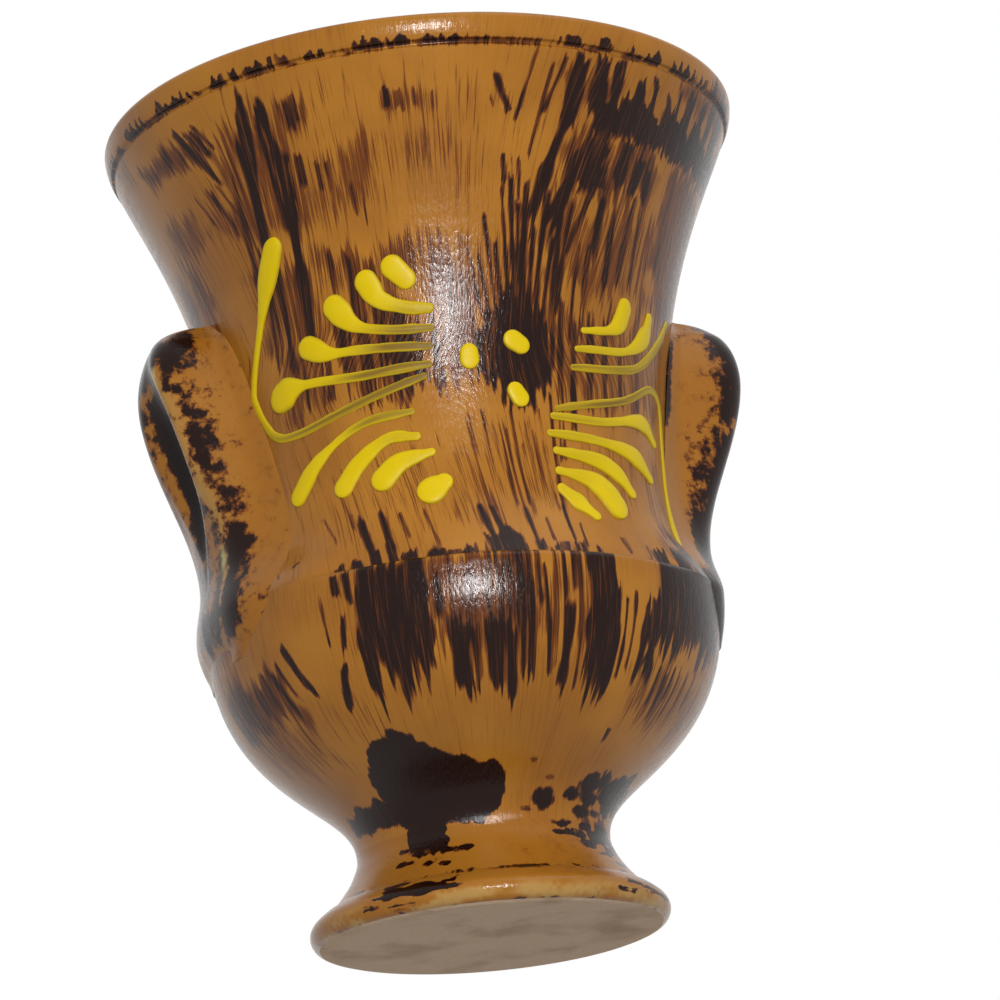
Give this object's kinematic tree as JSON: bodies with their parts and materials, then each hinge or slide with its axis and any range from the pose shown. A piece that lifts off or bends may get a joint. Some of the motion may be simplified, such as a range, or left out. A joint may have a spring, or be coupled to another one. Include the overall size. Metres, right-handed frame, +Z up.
{
  "type": "pottery vase",
  "caption": "Footed urn vase with a flared cup, rounded bowl, lug handles at the waist and a trailed slip motif, glazed, open at the top and flat below.",
  "frame": {"origin": "middle of the flat underside, on the axis", "axes": "+Z up the axis, the handles on +X and -X, the motif facing -Y"},
  "size_m": [0.13, 0.13, 0.17],
  "materials": {
    "ochre_glaze": "glossy clear glaze over ochre clay, bare clay on the underside",
    "brushed_glaze": "glossy clear glaze over ochre clay brushed with a dark brown wash",
    "yellow_slip": "raised trailed slip under glaze"
  },
  "bodies": {
    "root": {"foot": "ochre_glaze", "bowl": "brushed_glaze", "cup": "brushed_glaze", "handle_left": "ochre_glaze", "handle_right": "ochre_glaze", "slip_hook_left": "yellow_slip", "slip_frond_upper_left_1": "yellow_slip", "slip_frond_upper_left_2": "yellow_slip", "slip_frond_upper_left_3": "yellow_slip", "slip_frond_upper_left_4": "yellow_slip", "slip_frond_upper_left_5": "yellow_slip", "slip_frond_lower_left_1": "yellow_slip", "slip_frond_lower_left_2": "yellow_slip", "slip_frond_lower_left_3": "yellow_slip", "slip_dot_lower_left": "yellow_slip", "slip_dot_centre_left": "yellow_slip", "slip_dot_centre_upper": "yellow_slip", "slip_dot_centre_lower": "yellow_slip", "slip_frond_upper_right_1": "yellow_slip", "slip_frond_upper_right_2": "yellow_slip", "slip_frond_upper_right_3": "yellow_slip", "slip_scroll_right": "yellow_slip", "slip_frond_lower_right_1": "yellow_slip", "slip_frond_lower_right_2": "yellow_slip", "slip_frond_lower_right_3": "yellow_slip", "slip_frond_lower_right_4": "yellow_slip", "slip_frond_lower_right_5": "yellow_slip"}
  },
  "joints": []
}
